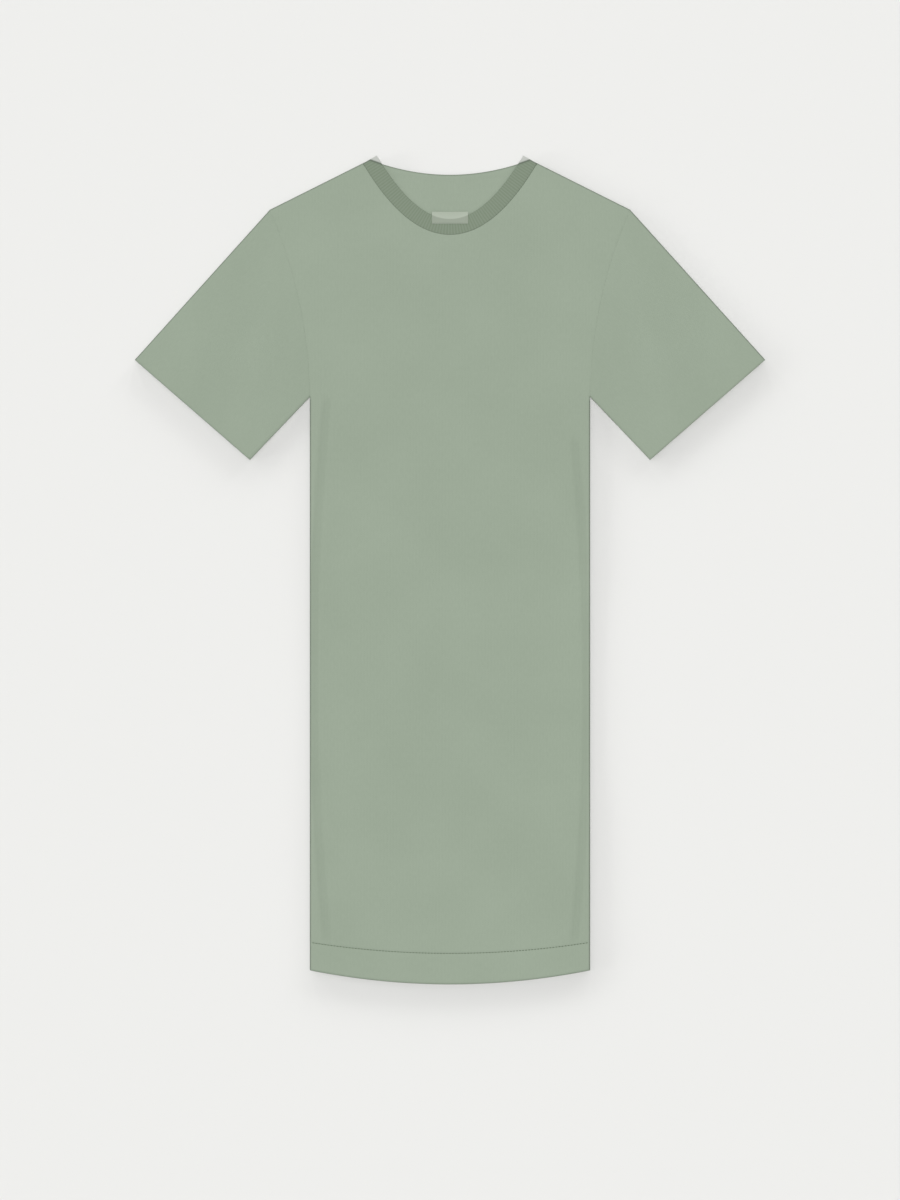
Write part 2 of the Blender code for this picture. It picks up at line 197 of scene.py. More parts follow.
def hemCurves(x):
    # the hem's edge and its stitch line: parabolas that hang lowest in the middle
    belly = dome(x, cut["bodyX"])
    return hemCorner[1] - cut["hemSag"] * belly, neckLevel - cut["hemLineDrop"] - cut["hemLineSag"] * belly


def turnedField(x, y):
    # distance from the folded edge of hem or cuff, and height above where its turned ply ends
    edge, line = hemCurves(x)
    toFold, above = y - edge, y - line
    for side in bothSides:
        toCuff = toLine(x, y, np.array([cuffCorner * side, sleeveTip * side]))
        toFold, above = np.minimum(toFold, toCuff), np.minimum(above, toCuff - cut["cuffTurn"])
    return toFold, above


def backNeckDrop(x):
    # the back neckline is a parabola through both neck points, lowest in the middle
    return cut["backNeckDrop"] * dome(x, cut["neckX"])


def bandDrop(x):
    # the neckband's middle line is a deeper one
    return cut["bandDrop"] * dome(x, cut["neckX"])


def bandSlope(x):
    # how steeply that line climbs: the parabola's derivative
    return 2.0 * cut["bandDrop"] * x / cut["neckX"] ** 2


def bandTilt(x):
    # how much longer the line is than its run: the root of one and the slope squared
    return np.sqrt(1.0 + bandSlope(x) ** 2)


def bandSpot(x, across):
    # a point across millimetres from the band's middle line, towards the opening, square to the line
    tilt = bandTilt(x)
    return np.stack([x - across * bandSlope(x) / tilt, neckLevel - bandDrop(x) + across / tilt], axis=-1)


# how many points the curves have
curvePoints = {"bandFine": 4001, "neckSeam": 73, "backNeck": 61, "armhole": 49, "hem": 241, "tack": 31}


def bandStations(count):
    # places on the band at even distances along its middle line
    fine = np.linspace(-cut["neckX"], cut["neckX"], curvePoints["bandFine"])
    length = pathLength(np.stack([fine, bandDrop(fine)], axis=-1))
    walked = np.linspace(0.0, length[-1], count)
    return np.interp(walked, length, fine), walked


def armholeLine(share, clearance=0.0):
    # the chord from underarm to shoulder, bowed into the body as a parabola
    share = np.asarray(share)[:, None]
    chord = shoulderPoint - underarm
    outward = unit(np.array([chord[1], -chord[0]]))
    sleeveWay = unit(cuffCorner - underarm) * (1.0 - share) + unit(sleeveTip - shoulderPoint) * share
    bow = -cut["armholeBow"] * arch(share)
    return underarm + share * chord + outward * bow + sleeveWay * clearance


neckStations, _ = bandStations(curvePoints["neckSeam"])
neckSeam = bandSpot(neckStations, -cut["bandWidth"] / 2.0)
shoulderWay = unit(neckPoint - shoulderPoint)
neckSeam[-1] = shoulderPoint + shoulderWay * ((neckSeam[-1] - shoulderPoint) @ shoulderWay)
neckSeam[0] = neckSeam[-1] * mirror
backNeckX = np.linspace(-cut["neckX"], cut["neckX"], curvePoints["backNeck"])
backNeck = np.stack([backNeckX, neckLevel - backNeckDrop(backNeckX)], axis=-1)
armholeShare = np.linspace(0.0, 1.0, curvePoints["armhole"])
armholes = [armholeLine(armholeShare) * side for side in bothSides]

# the two long folds by the side seams, in millimetres; inset is at their ends and nearest in their middle
foldForm = {"halfWidth": 5.1, "steepness": 6, "fade": 12.0, "lipAt": 10.0, "lipReach": 5.0}
sideFolds = (
    {"side": -1, "top": 294.0, "bottom": 981.0, "inset": 22.5, "nearest": 5.0, "depth": 1.2, "lip": 0.15},
    {"side": 1, "top": 344.0, "bottom": 981.0, "inset": 20.0, "nearest": 4.0, "depth": 1.1, "lip": 0.12},
)

# low swells of the upper layer: centre, half sizes along and across, turn in radians, height
swells = (
    (-70.0, 210.0, 90.0, 32.0, 0.9, 0.75),
    (85.0, 235.0, 80.0, 34.0, -0.8, 0.65),
    (-45.0, 430.0, 130.0, 38.0, 1.4, 0.75),
    (60.0, 520.0, 140.0, 36.0, 1.7, 0.85),
    (-30.0, 690.0, 120.0, 44.0, 1.5, 0.70),
    (75.0, 800.0, 110.0, 34.0, 1.6, 0.75),
    (-85.0, 860.0, 100.0, 32.0, 1.4, 0.65),
    (-285.0, 245.0, 75.0, 30.0, 0.8, 0.75),
    (280.0, 255.0, 75.0, 30.0, -0.8, 0.75),
)

# short ripples that gathered stitches leave beside a seam: wavelength, height and reach, and at the neck
# the distance over which they begin; their pace and their height wander as slow sines, each with its
# size, its share of the ripple's own pace and its start
puckers = {
    "hem": {"wave": 15.0, "height": 0.2, "reach": 9.0},
    "neck": {"wave": 11.0, "height": 0.18, "reach": 8.0, "begins": 2.0},
    "armhole": {"wave": 17.0, "height": 0.2, "reach": 9.0},
}
paceWander = ((1.3, 0.23, 1.0), (0.9, 0.41, 0.0))
heightWander = {"mean": 0.6, "size": 0.4, "pace": 0.17, "start": 2.0}


def foldShape(x, drop, fold):
    # a flat-bottomed trough along a bowed line, fading at both ends, and the low lip on its inner side
    share = (drop - fold["top"]) / (fold["bottom"] - fold["top"])
    inset = fold["inset"] - (fold["inset"] - fold["nearest"]) * arch(share)
    inner = fold["side"] * (fold["side"] * cut["bodyX"] - fold["side"] * inset - x)
    fade = foldForm["fade"]
    ends = ease((drop - fold["top"]) / fade) * ease((fold["bottom"] - drop) / fade)
    trough = np.exp(-((inner / foldForm["halfWidth"]) ** foldForm["steepness"]))
    return ends * trough, ends * bell(inner - foldForm["lipAt"], foldForm["lipReach"])


def ripple(along, distance, pucker):
    # a wave along the seam whose pace and height wander, dying out away from it
    phase = 2.0 * np.pi * along / pucker["wave"]
    wander = sum(size * np.sin(phase * pace + start) for size, pace, start in paceWander)
    slow = np.sin(phase * heightWander["pace"] + heightWander["start"])
    strength = heightWander["mean"] + heightWander["size"] * slow
    return pucker["height"] * strength * np.sin(phase + wander) * bell(distance, pucker["reach"])


def turned(x, drop, centreX, centreDrop, turn):
    # the place of a point along and across a form that is turned about its centre
    right, down = x - centreX, drop - centreDrop
    return right * np.cos(turn) + down * np.sin(turn), down * np.cos(turn) - right * np.sin(turn)


def swellHeight(x, drop):
    # the sum of long low hills, each a bell along times a bell across
    height = np.zeros_like(x)
    for centreX, centreDrop, along, across, turn, peak in swells:
        u, v = turned(x, drop, centreX, centreDrop, turn)
        height += peak * bell(u, along) * bell(v, across)
    return height


def seamRelief(x, y):
    # valleys along the armhole seams and the hem's stitches, with the ripples beside them
    relief = np.zeros_like(x)
    for line in armholes:
        distance = toLine(x, y, line)
        relief -= lay["seamValley"] * bell(distance, lay["seamValleyReach"])
        relief += ripple(y, distance, puckers["armhole"])
    fromHemLine = np.abs(y - hemCurves(x)[1])
    relief -= lay["stitchGroove"] * bell(fromHemLine, lay["stitchGrooveReach"])
    relief += ripple(x, fromHemLine, puckers["hem"])
    return relief


def upperHeight(x, y, distance, above):
    # the upper layer's outer face: flat, a little fuller by the folds, higher where hem or cuff is double
    drop = neckLevel - y
    clear = ease(above / lay["turnedBlend"])
    height = lay["turnedHeight"] + (lay["flatHeight"] - lay["turnedHeight"]) * clear
    height += lay["bulge"] * clear * bell(distance, lay["bulgeReach"])
    height += swellHeight(x, drop) + seamRelief(x, y)
    for fold in sideFolds:
        trough, lip = foldShape(x, drop, fold)
        height += fold["lip"] * lip - fold["depth"] * trough
    fromNeck = toLine(x, y, neckSeam)
    height -= lay["seamValley"] * bell(fromNeck, lay["seamValleyReach"])
    height += ripple(x, fromNeck, puckers["neck"]) * ease(fromNeck / puckers["neck"]["begins"])
    return height


# shallow creases under the back, lifted off the table: centre, half length, half width, turn, height;
# their middles are bowed aside by a few millimetres
creaseBow = 6.0
backCreases = (
    (-139.0, 640.0, 260.0, 5.0, 1.54, 1.0),
    (140.0, 600.0, 230.0, 5.0, 1.60, 0.9),
    (-40.0, 330.0, 90.0, 6.0, 0.5, 0.6),
    (60.0, 470.0, 110.0, 6.0, 2.5, 0.55),
)


def creaseHeight(x, drop):
    # bells across a line bowed as a parabola, easing away to both ends
    height = np.zeros_like(x)
    for centreX, centreDrop, along, across, turn, peak in backCreases:
        u, v = turned(x, drop, centreX, centreDrop, turn)
        bowed = v + creaseBow * (u / along) ** 2
        height += peak * ease(1.0 - np.abs(u) / along) * bell(bowed, across)
    return height


def lowerHeight(x, y):
    # the lower layer's outer face lies on the table, but for its creases and the grooves of its seams
    return creaseHeight(x, neckLevel - y) + np.clip(-seamRelief(x, y), 0.0, lay["deepestUnder"])


def layer(x, y, face, extraPly=0.0):
    # outer and inner face of one layer: a quarter ellipse up or down from the seam, then flat; the inner
    # face lies inside it by one ply, or by two where hem or cuff is turned in
    distance, inward = edgeField(x, y)
    toFold, above = turnedField(x, y)
    roll = np.clip(distance / lay["roll"], 0.0, 1.0)
    lift = np.sqrt(1.0 - (1.0 - roll) ** 2)
    wall = lay["cloth"] * (1.0 + extraPly + ease(-above / lay["plyStep"]))
    tuck = 1.0 - np.sqrt(1.0 - np.clip(1.0 - toFold / lay["foldedEdge"], 0.0, 1.0) ** 2)
    soften = (wall / 2.0 - lay["foldedGap"]) * tuck
    seam = lay["seamHeight"] + face * lay["seamGap"] / 2.0
    flat = upperHeight(x, y, distance, above) if face > 0 else lowerHeight(x, y)
    outerZ = seam + (flat - face * soften - seam) * lift
    innerZ = seam + (flat - face * (wall - soften) - seam) * lift
    shift = inward * (wall * (1.0 - roll))[..., None]
    outer = np.stack([x, y, outerZ], axis=-1)
    inner = np.stack([x + shift[..., 0], y + shift[..., 1], innerZ], axis=-1)
    return outer, inner


def setTone(piece, attribute, values, faces=2):
    # one number for each point, the same on both faces of a wall, for the material to read
    tone = piece.data.attributes.new(attribute, "FLOAT", "POINT")
    tone.data.foreach_set("value", np.tile(values.ravel(), faces).astype(np.float32))


# painted shade: how much darker the cloth is painted along its outline, at the back's neckline and in its
# folds and creases: the reach, and how far below the underarm the side's line stops, in millimetres; the
# rest are shares, one for each line
paintedShade = {
    "reach": 1.1,
    "side": 1.0,
    "belowUnderarm": 4.0,
    "cuff": 0.3,
    "overarm": 1.0,
    "shoulder": 1.0,
    "hem": 0.66,
    "neckline": 0.75,
    "crease": 0.083,
}
# the outline's straight lines, darkened with painted shade; the hem's curve is darkened the same way
paintedShadeLines = (
    ("side", hemCorner, spot(cut["bodyX"], cut["underarmDrop"] + paintedShade["belowUnderarm"])),
    ("cuff", cuffCorner, sleeveTip),
    ("overarm", sleeveTip, shoulderPoint),
    ("shoulder", shoulderPoint, neckPoint),
)


def paintedShadeTone(x, y):
    # painted shade: the strongest of the bells across the outline's lines
    tone = paintedShade["hem"] * bell(y - hemCurves(x)[0], paintedShade["reach"])
    for name, start, end in paintedShadeLines:
        for side in bothSides:
            distance = toLine(x, y, np.array([start * side, end * side]))
            tone = np.maximum(tone, paintedShade[name] * bell(distance, paintedShade["reach"]))
    return tone


def gridQuads(rows, steps):
    # row and column of the four corners of every face of a grid
    row, column = np.meshgrid(np.arange(rows - 1), np.arange(steps), indexing="ij")
    rowAt = np.stack([row, row, row + 1, row + 1], axis=-1).reshape(-1, 4)
    return rowAt, np.stack([column, column + 1, column + 1, column], axis=-1).reshape(-1, 4)


def shellMesh(name, outer, inner, uv, closed, materials):
    # a wall from two grids of points: both faces, and rims along the open borders; uv has one column
    # more than a closed grid, so that the pattern meets itself at the seam
    rows, columns = outer.shape[:2]
    count = rows * columns
    rowAt, columnAt = gridQuads(rows, columns if closed else columns - 1)
    outerFaces = rowAt * columns + columnAt % columns
    innerFaces = outerFaces[:, ::-1] + count
    borders = [(np.zeros(columns + 1, int), np.arange(columns + 1), 0)]
    borders.append((np.full(columns + 1, rows - 1), np.arange(columns + 1), 1))
    if not closed:
        borders = [(r[:-1], c[:-1], flip) for r, c, flip in borders]
        borders.append((np.arange(rows), np.zeros(rows, int), 1))
        borders.append((np.arange(rows), np.full(rows, columns - 1), 0))
    rims, rimRow, rimColumn = [], [], []
    for r, c, flip in borders:
        at = r * columns + c % columns
        order = slice(None, None, -1) if flip else slice(None)
        rims.append(np.stack([at[1:], at[:-1], at[:-1] + count, at[1:] + count], axis=-1)[:, order])
        rimRow.append(np.stack([r[1:], r[:-1], r[:-1], r[1:]], axis=-1)[:, order])
        rimColumn.append(np.stack([c[1:], c[:-1], c[:-1], c[1:]], axis=-1)[:, order])
    faces = np.concatenate([outerFaces, innerFaces] + rims)
    rowOf = np.concatenate([rowAt, rowAt[:, ::-1]] + rimRow)
    columnOf = np.concatenate([columnAt, columnAt[:, ::-1]] + rimColumn)
    points = np.concatenate([outer.reshape(-1, 3), inner.reshape(-1, 3)]) * mm
    insideOf = np.zeros(len(faces), int)
    insideOf[len(outerFaces):len(outerFaces) + len(innerFaces)] = len(materials) - 1
    return finishMesh(name, points, faces, uv[rowOf, columnOf], insideOf, materials)


sharpFrom = 55.0  # degrees between two faces, from which their edge stays sharp


def finishMesh(name, points, faces, uv, materialOf, materials):
    # faces turn outwards: where the volume they enclose comes out negative, all are reversed
    a, b, c, d = (points[faces[:, i]] for i in range(4))
    if (a * (np.cross(b, c) + np.cross(c, d))).sum() < 0.0:
        faces, uv = faces[:, ::-1], uv[:, ::-1]
    mesh = bpy.data.meshes.new(name)
    mesh.from_pydata(points, [], faces)
    layerUv = mesh.uv_layers.new(name="cloth")
    layerUv.data.foreach_set("uv", (uv * mm).astype(np.float32).ravel())
    for material in materials:
        mesh.materials.append(material)
    mesh.polygons.foreach_set("material_index", np.asarray(materialOf, np.int32))
    mesh.shade_smooth()
    mesh.set_sharp_from_angle(angle=np.radians(sharpFrom))
    piece = bpy.data.objects.new(name, mesh)
    bpy.context.scene.collection.objects.link(piece)
    return piece


# looks of the cloth: colours in sRGB, spacings in millimetres, a relief as its strength and its depth in
# millimetres, and tones as the values that bring out the deeper and the lighter one
looks = {
    "jersey": "#A3B09E",
    "jerseyDeep": "#99A694",
    "reverse": "#A5B2A0",
    "reverseDeep": "#9BA896",
    # painted shade: the deeper tone that the outline, the folds and the creases are painted towards
    "jerseyPaintedShade": "#6A7567",
    "rib": "#869381",
    "ribDeep": "#7A8773",
    # painted shade: the deeper tone of the band where it passes over the shirt's edge
    "ribPaintedShade": "#656F62",
    "ribOverTable": "#C3C6C0",
    "thread": "#64715E",
    "labelThread": "#8F9988",
    "label": "#AAB4A4",
    "labelOverBand": "#949E8E",
    "wale": 3.6,
    "course": 2.8,
    "askew": 1.6,
    "loopMean": 0.7,
    "loopSwing": 0.3,
    "fuzz": (2.4, 6.7),
    "fuzzHeight": 0.5,
    "fuzzTone": 0.75,
    # share by which the knit's low valleys are painted a shade deeper
    "knitTone": 0.5,
    "patch": (110.0, 110.0),
    "jerseyTones": (0.6, 1.8),
    "jerseyRelief": (0.6, 0.4),
    "ribFuzz": (4.5, 2.4),
    "ribFuzzTone": 0.5,
    # the rib tones also paint the hollows between the ribs a shade deeper
    "ribTones": (0.1, 1.2),
    "ribRelief": (0.4, 0.2),
    "labelThreads": (17.0, 0.9),
    "labelRelief": (0.3, 0.2),
    "twist": 0.5,
    "twistRelief": (0.4, 0.1),
    "fineDetail": 3.0,
    "plainDetail": 2.0,
}


def linear(hexCode):
    # sRGB hex to linear: the standard curve, with its straight foot
    srgb = np.array([int(hexCode[i:i + 2], 16) for i in (1, 3, 5)]) / 255.0
    value = np.where(srgb <= 0.04045, srgb / 12.92, ((srgb + 0.055) / 1.055) ** 2.4)
    return (*(float(channel) for channel in value), 1.0)


def addNode(tree, kind, inputs=None, **settings):
    # a node with its settings; each input is a value, or another node's output to link
    node = tree.nodes.new(kind)
    for key, value in settings.items():
        setattr(node, key, value)
    for key, value in (inputs or {}).items():
        if isinstance(value, bpy.types.NodeSocket):
            tree.links.new(value, node.inputs[key])
        else:
            node.inputs[key].default_value = value
    return node


def newMaterial(name):
    material = bpy.data.materials.new(name)
    material.use_nodes = True
    tree = material.node_tree
    return material, tree, tree.nodes["Principled BSDF"]


def compute(tree, operation, *terms):
    # the result of a calculation; each term is a number, or another node's output
    return addNode(tree, "ShaderNodeMath", dict(enumerate(terms)), operation=operation).outputs[0]


def between(tree, value, limits):
    # how far a value has come from the low limit to the high one, held to 0 and 1
    terms = {"Value": value, "From Min": limits[0], "From Max": limits[1]}
    return addNode(tree, "ShaderNodeMapRange", terms).outputs[0]


def blend(tree, share, first, second):
    # a colour between two others, each a colour or another node's output
    return addNode(tree, "ShaderNodeMix", {0: share, 6: first, 7: second}, data_type="RGBA").outputs[2]


def toneOf(tree, attribute):
    # the number that a piece has at each point
    return addNode(tree, "ShaderNodeAttribute", attribute_name=attribute).outputs["Fac"]


def clothUv(tree):
    # the place on the flat cloth, in metres
    return addNode(tree, "ShaderNodeUVMap", uv_map="cloth").outputs[0]


def spots(tree, uv, sizes, detail):
    # noise whose spots have these sizes across and along the cloth, in millimetres
    scale = (1.0 / (sizes[0] * mm), 1.0 / (sizes[1] * mm), 1.0)
    place = addNode(tree, "ShaderNodeMapping", {0: uv, "Scale": scale})
    noise = addNode(tree, "ShaderNodeTexNoise", {"Vector": place.outputs[0], "Scale": 1.0, "Detail": detail})
    return noise.outputs["Fac"]


def addRelief(tree, shader, height, relief):
    # a bump of this strength and depth
    strength, depth = relief
    terms = {"Height": height, "Strength": strength, "Distance": depth * mm}
    tree.links.new(addNode(tree, "ShaderNodeBump", terms).outputs[0], shader.inputs["Normal"])


def setShader(shader, values):
    # constant values, on the shader's own sockets
    for socket, value in values.items():
        shader.inputs[socket].default_value = value


mattCotton = {"Roughness": 0.92, "Specular IOR Level": 0.2, "Sheen Weight": 0.05, "Sheen Roughness": 0.5}


def combedCottonJersey(name, reverse=False):
    # Combed cotton single jersey: matt, with a faint fuzz, and a dye a little uneven over a hand's width.
    # The face shows columns of V-shaped loops, and the reverse rows of small arcs. Real loops are 0.7 mm
    # across and the fuzz 0.5 mm, too fine to show, so both are drawn about five times as coarse.
    # Each column has two rounded legs, a sine across each half, cut into loops by a cosine along the
    # column that runs askew, one way on the left leg and the other on the right. Fuzz and knit set the
    # relief, and together with the patches they mix the cloth's two tones: the dye varies at random, and the
    # knit's low valleys are painted a shade deeper. Along the outline and in the folds and creases the
    # colour is then painted darker still, as painted shade.
    material, tree, shader = newMaterial(name)
    uv = clothUv(tree)
    split = addNode(tree, "ShaderNodeSeparateXYZ", {0: uv})
    across, up = split.outputs[0], split.outputs[1]
    wale, course = looks["wale"] * mm, looks["course"] * mm
    if reverse:
        across, up, wale, course = up, across, course, wale
    slant = compute(tree, "PINGPONG", compute(tree, "MULTIPLY", across, 1.0 / wale), 0.5)
    leg = compute(tree, "SINE", compute(tree, "MULTIPLY", slant, 2.0 * np.pi))
    courseAt = compute(tree, "MULTIPLY", up, 1.0 / course)
    askew = compute(tree, "MULTIPLY_ADD", slant, looks["askew"], courseAt)
    loop = compute(tree, "COSINE", compute(tree, "MULTIPLY", askew, 2.0 * np.pi))
    loopHeight = compute(tree, "MULTIPLY_ADD", loop, looks["loopSwing"], looks["loopMean"])
    knit = compute(tree, "MULTIPLY", leg, loopHeight)
    fuzz = spots(tree, uv, looks["fuzz"], looks["fineDetail"])
    patch = spots(tree, uv, looks["patch"], looks["plainDetail"])
    uneven = compute(tree, "MULTIPLY_ADD", fuzz, looks["fuzzTone"], patch)
    toned = compute(tree, "MULTIPLY_ADD", knit, looks["knitTone"], uneven)
    tone = between(tree, toned, looks["jerseyTones"])
    side = "reverse" if reverse else "jersey"
    colour = blend(tree, tone, linear(looks[side + "Deep"]), linear(looks[side]))
    # painted shade along the outline and in the folds and creases
    finished = blend(tree, toneOf(tree, "paintedShade"), colour, linear(looks["jerseyPaintedShade"]))
    tree.links.new(finished, shader.inputs["Base Color"])
    height = compute(tree, "MULTIPLY_ADD", fuzz, looks["fuzzHeight"], knit)
    addRelief(tree, shader, height, looks["jerseyRelief"])
    setShader(shader, mattCotton)
    return material


def cottonRib(name):
    # One-by-one cotton rib, dyed a tone darker: matt, with fine fuzz; its ribs are in the mesh. Its two
    # tips, past the shirt's edge, are blended towards a paler tone, as if the table showed through, and
    # across that edge towards a deeper one, painted shade where it passes over the edge. Fuzz and ribs mix
    # its own two tones, which paints the hollows between the ribs a shade deeper.
    material, tree, shader = newMaterial(name)
    uv = clothUv(tree)
    fuzz = spots(tree, uv, looks["ribFuzz"], looks["fineDetail"])
    # painted shade: the hollows between the ribs come out a tone deeper
    toned = compute(tree, "MULTIPLY_ADD", fuzz, looks["ribFuzzTone"], toneOf(tree, "rib"))
    tone = between(tree, toned, looks["ribTones"])
    colour = blend(tree, tone, linear(looks["ribDeep"]), linear(looks["rib"]))
    paler = blend(tree, toneOf(tree, "overTable"), colour, linear(looks["ribOverTable"]))
    # painted shade where the band passes over the shirt's edge
    finished = blend(tree, toneOf(tree, "paintedShade"), paler, linear(looks["ribPaintedShade"]))
    tree.links.new(finished, shader.inputs["Base Color"])
    addRelief(tree, shader, fuzz, looks["ribRelief"])
    setShader(shader, mattCotton)
    return material


def sheerSatinTape(name):
    # Satin-woven polyester tape, blended towards a darker tone where it lies over the band, as if that
    # showed through. Its threads are a noise drawn out along it, nine times as coarse as the real 0.1 mm.
    material, tree, shader = newMaterial(name)
    uv = clothUv(tree)
    label, overBand = linear(looks["label"]), linear(looks["labelOverBand"])
    tree.links.new(blend(tree, toneOf(tree, "overBand"), label, overBand), shader.inputs["Base Color"])
    threads = spots(tree, uv, looks["labelThreads"], looks["plainDetail"])
    addRelief(tree, shader, threads, looks["labelRelief"])
    setShader(shader, {"Roughness": 0.5, "Specular IOR Level": 0.35})
    return material


def spunThread(name, hexCode):
    # Spun polyester sewing thread: slightly glossier than the cloth. Its two plies turn once in 0.5 mm,
    # which shows as diagonal stripes; a wave of scale 1 has its stripes 0.2 pi apart.
    material, tree, shader = newMaterial(name)
    place = addNode(tree, "ShaderNodeTexCoord")
    waveTerms = {"Vector": place.outputs["Object"], "Scale": 0.2 * np.pi / (looks["twist"] * mm)}
    twist = addNode(tree, "ShaderNodeTexWave", waveTerms, bands_direction="DIAGONAL")
    addRelief(tree, shader, twist.outputs["Fac"], looks["twistRelief"])
    setShader(shader, {"Base Color": linear(hexCode), "Roughness": 0.7})
    return material


jerseyFace = combedCottonJersey("combed cotton jersey, face")
jerseyReverse = combedCottonJersey("combed cotton jersey, reverse", reverse=True)
ribCloth = cottonRib("cotton rib, one by one")
labelTape = sheerSatinTape("sheer satin tape")
hemThread = spunThread("spun polyester thread, sage", looks["thread"])
labelThread = spunThread("spun polyester thread, pale", looks["labelThread"])
print("materials made")


# where rows and columns of points lie, in millimetres in from an edge or away from a line: the close ones,
# where the cloth rolls over or folds, one by one, and the even ones as start, end and step or as a step
rollSteps = np.array([0.0, 0.3, 0.7, 1.2, 1.8, 2.6, 3.5])
foldSteps = np.array([0.0, 0.2, 0.4, 0.7, 1.0])
panelSteps = {
    "side": (5.0, 36.0, 2.4),
    "hem": (3.0, 33.0, 2.5),
    "hemTall": 35.0,
    "underLine": (-0.9, -0.4),
    "overLine": (0.0, 0.6, 1.3, 2.2),
    "bodyFrom": 4.0,
    "body": 6.0,
    "frontColumns": 5.0,
    "backColumns": 6.0,
}
armholeSteps = {"from": 5.0, "to": 20.0, "near": 3.0, "middle": 5.0}
sleeveSteps = {"close": (0.0, 0.4, 0.9, 1.6, 2.6, 4.0), "from": 6.0, "step": 5.0, "cuff": 2.0, "gap": 0.08}


def armholeShares():
    # places along the armhole, close together at both ends where the cloth rolls over
    steps = armholeSteps
    near = np.concatenate([rollSteps, spaced(steps["from"], steps["to"], steps["near"])])
    length = np.linalg.norm(shoulderPoint - underarm)
    middle = spaced(steps["to"], length - steps["to"], steps["middle"])
    return np.concatenate([near, middle, length - near[::-1]]) / length


def panelGrid(neckline, columnStep):
    # a patch between four borders: the hem line below, shoulders and neckline above, the side seam and
    # armhole on each side; the hem's own rows lie below it. Each point is the mix of the side borders
    # plus the mix of the end borders less the mix of the corners.
    inner = (cut["shoulderX"] + neckline[0, 0]) * cut["bodyX"] / cut["shoulderX"]
    even = spaced(panelSteps["side"][1], inner, columnStep)
    side = np.concatenate([rollSteps, spaced(*panelSteps["side"]), even]) / cut["bodyX"] / 2.0
    columns = np.concatenate([side, 0.5 + neckline[:, 0] / cut["shoulderX"] / 2.0, 1.0 - side[::-1]])
    x = (2.0 * columns - 1.0) * cut["bodyX"]
    edge, line = hemCurves(x)
    steps = np.concatenate([foldSteps, spaced(*panelSteps["hem"])])
    hem = [edge + step / panelSteps["hemTall"] * (line - edge) for step in steps]
    hem = np.stack(hem + [line + step for step in panelSteps["underLine"]])
    near = cut["hemLineDrop"] - np.array(panelSteps["overLine"])
    body = spaced(cut["hemLineDrop"] - panelSteps["bodyFrom"], cut["underarmDrop"], panelSteps["body"])
    drops = np.concatenate([near, body])
    seam = np.stack([np.full(len(drops), cut["bodyX"]), neckLevel - drops], axis=-1)
    right = np.concatenate([seam, armholeLine(armholeShares())])
    topX = (2.0 * columns - 1.0) * cut["shoulderX"]
    knots = np.concatenate([[shoulderPoint * mirror], neckline, [shoulderPoint]])
    topY = np.interp(topX, knots[:, 0], knots[:, 1])
    up = ((right[:, 1] - right[0, 1]) / (right[-1, 1] - right[0, 1]))[:, None]
    gridX = (2.0 * columns - 1.0) * right[:, :1]
    gridY = right[:, 1:] + (line - right[0, 1]) * (1.0 - up) + (topY - shoulderPoint[1]) * up
    x = np.tile(x, (len(hem), 1))
    return np.concatenate([x, gridX]), np.concatenate([hem, gridY])


# the back's neckline has a narrow edge turned in, thicker than one ply: extra plies, width and the blend
# beyond it in millimetres, and the shares of the neck's half width from which and over which it thins out
neckEdge = {"plies": 0.6, "width": 4.0, "blend": 5.0, "thinsFrom": 0.6, "thinsOver": 0.3}


def makePanel(name, neckline, face, materials, columnStep):
    # the panel's patch, lifted to the upper layer where face is 1 and to the lower one where it is -1
    x, y = panelGrid(neckline, columnStep)
    extra = 0.0
    if face < 0:
        thinned = ease((np.abs(x) / cut["neckX"] - neckEdge["thinsFrom"]) / neckEdge["thinsOver"])
        beyond = ease((toLine(x, y, neckline) - neckEdge["width"]) / neckEdge["blend"])
        extra = neckEdge["plies"] * (1.0 - thinned) * (1.0 - beyond)
    outer, inner = layer(x, y, face, extra)
    piece = shellMesh(name, outer, inner, np.stack([x, y], axis=-1), False, materials)
    # painted shade along the outline; on the back also along its neckline and in its creases, on the front
    # in its folds
    tone = paintedShadeTone(x, y)
    if face < 0:
        atNeck = paintedShade["neckline"] * bell(toLine(x, y, neckline), paintedShade["reach"])
        tone = np.maximum(tone, atNeck) + paintedShade["crease"] * creaseHeight(x, neckLevel - y)
    for fold in sideFolds if face > 0 else ():
        tone += paintedShade["crease"] * foldShape(x, neckLevel - y, fold)[0]
    setTone(piece, "paintedShade", np.clip(tone, 0.0, 1.0))
    print(name, "has", len(piece.data.polygons), "faces")
    return piece


def cuffRow(shares, step):
    # a row along the cuff, this far up the sleeve from its folded edge
    under = cuffCorner + step * unit(underarm - cuffCorner)
    over = sleeveTip + step * unit(shoulderPoint - sleeveTip)
    return under * (1.0 - shares[:, None]) + over * shares[:, None]


